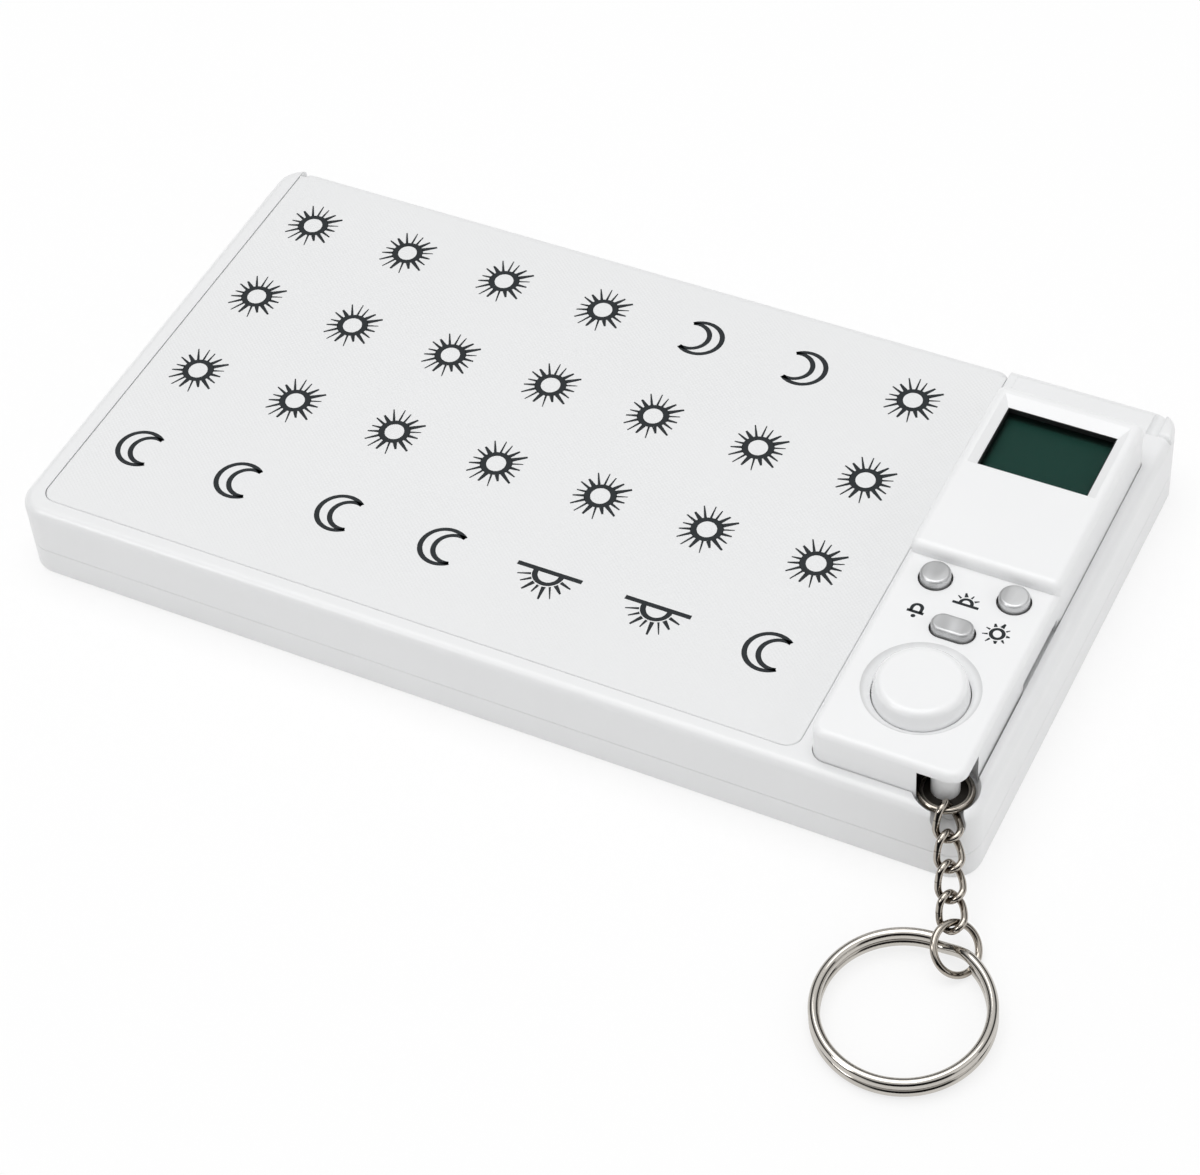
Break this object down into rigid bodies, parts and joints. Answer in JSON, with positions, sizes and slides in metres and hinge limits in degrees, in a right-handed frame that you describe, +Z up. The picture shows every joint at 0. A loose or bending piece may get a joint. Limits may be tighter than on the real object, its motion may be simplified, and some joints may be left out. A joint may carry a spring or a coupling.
{
  "type": "electronic pill organizer",
  "caption": "Flat pill case with a hinged lid over a grid of compartments, a lift-out reminder timer with display and push buttons, and a key chain with a split ring.",
  "frame": {"origin": "centre of the case's footprint on the table, in the plane of its flat bottom", "axes": "+X along the long side towards the timer, +Y to the hinged back edge, +Z up"},
  "size_m": [0.1678, 0.1218, 0.0215],
  "materials": {
    "shell": "satin white",
    "lid": "fine matte grain",
    "tray": "satin",
    "main_button": "satin",
    "grey_button": "satin",
    "window": "clear",
    "lcd": "dark green-grey glass",
    "nickel": "bright nickel",
    "steel": "plain",
    "board": "green lacquer",
    "black_plastic": "matte black",
    "zebra": "matte"
  },
  "bodies": {
    "case": {"lower_shell": "shell", "upper_shell": "shell", "pill_tray": "tray", "row_dividers": "tray", "column_dividers": "tray", "hinge_pins": "steel", "case_screws": "steel"},
    "lid": {"lid": "lid"},
    "timer": {"timer_top_shell": "shell", "timer_bottom_shell": "shell", "battery_cover": "shell", "battery_cover_screw": "steel", "coin_cell": "steel", "battery_contacts": "steel", "circuit_board": "board", "lcd_panel": "lcd", "zebra_strips": "zebra", "display_window": "window", "buzzer": "black_plastic", "tact_switches": "black_plastic", "timer_screws": "steel", "lanyard_post": "shell"},
    "main_button": {"main_button": "main_button", "main_switch_plunger": "black_plastic"},
    "left_button": {"left_button": "grey_button", "left_switch_plunger": "black_plastic"},
    "right_button": {"right_button": "grey_button", "right_switch_plunger": "black_plastic"},
    "oval_button": {"oval_button": "grey_button", "oval_switch_plunger": "black_plastic"},
    "post_ring": {"post_ring": "nickel"},
    "chain_link_1": {"chain_link_1": "nickel"},
    "chain_link_2": {"chain_link_2": "nickel"},
    "chain_link_3": {"chain_link_3": "nickel"},
    "chain_link_4": {"chain_link_4": "nickel"},
    "connector_ring": {"connector_ring": "nickel"},
    "split_ring": {"split_ring": "nickel"}
  },
  "joints": [
    {"name": "lid_hinge", "type": "hinge", "parent": "case", "child": "lid", "pos_m": [0, 0.0402, 0.01165], "axis": [-1, 0, 0], "range_deg": [0, 120]},
    {"name": "timer_lift", "type": "slide", "parent": "case", "child": "timer", "axis": [0, 0, 1], "range_m": [0, 0.03]},
    {"name": "main_button_press", "type": "slide", "parent": "timer", "child": "main_button", "axis": [0, 0, -1], "range_m": [0, 0.0008], "stiffness_N_per_m": 400, "springref_m": -0.0004},
    {"name": "left_button_press", "type": "slide", "parent": "timer", "child": "left_button", "axis": [0, 0, -1], "range_m": [0, 0.0006], "stiffness_N_per_m": 400, "springref_m": -0.0004},
    {"name": "right_button_press", "type": "slide", "parent": "timer", "child": "right_button", "axis": [0, 0, -1], "range_m": [0, 0.0006], "stiffness_N_per_m": 400, "springref_m": -0.0004},
    {"name": "oval_button_press", "type": "slide", "parent": "timer", "child": "oval_button", "axis": [0, 0, -1], "range_m": [0, 0.0006], "stiffness_N_per_m": 400, "springref_m": -0.0004},
    {"name": "post_ring_swing", "type": "hinge", "parent": "timer", "child": "post_ring", "pos_m": [0.07009, -0.03415, 0.01277], "axis": [-0.9033, -0.4289, 0], "range_deg": [0, 10]},
    {"name": "chain_link_1_swing", "type": "hinge", "parent": "post_ring", "child": "chain_link_1", "pos_m": [0.07316, -0.04061, 0.01277], "axis": [-0.9033, -0.4289, 0], "range_deg": [0, 12]},
    {"name": "chain_link_2_swing", "type": "hinge", "parent": "chain_link_1", "child": "chain_link_2", "pos_m": [0.07464, -0.04374, 0.01073], "axis": [-0.9033, -0.4289, 0], "range_deg": [0, 12]},
    {"name": "chain_link_3_swing", "type": "hinge", "parent": "chain_link_2", "child": "chain_link_3", "pos_m": [0.07617, -0.04695, 0.00863], "axis": [-0.9033, -0.4289, 0], "range_deg": [0, 12]},
    {"name": "chain_link_4_swing", "type": "hinge", "parent": "chain_link_3", "child": "chain_link_4", "pos_m": [0.07769, -0.05016, 0.00653], "axis": [-0.9033, -0.4289, 0], "range_deg": [0, 12]},
    {"name": "connector_ring_swing", "type": "hinge", "parent": "chain_link_4", "child": "connector_ring", "pos_m": [0.07922, -0.05337, 0.00443], "axis": [-0.9033, -0.4289, 0], "range_deg": [0, 12]},
    {"name": "split_ring_swing", "type": "hinge", "parent": "connector_ring", "child": "split_ring", "pos_m": [0.08048, -0.05505, 0.00282], "axis": [-0.9694, 0.2453, 0], "range_deg": [0, 20]}
  ]
}
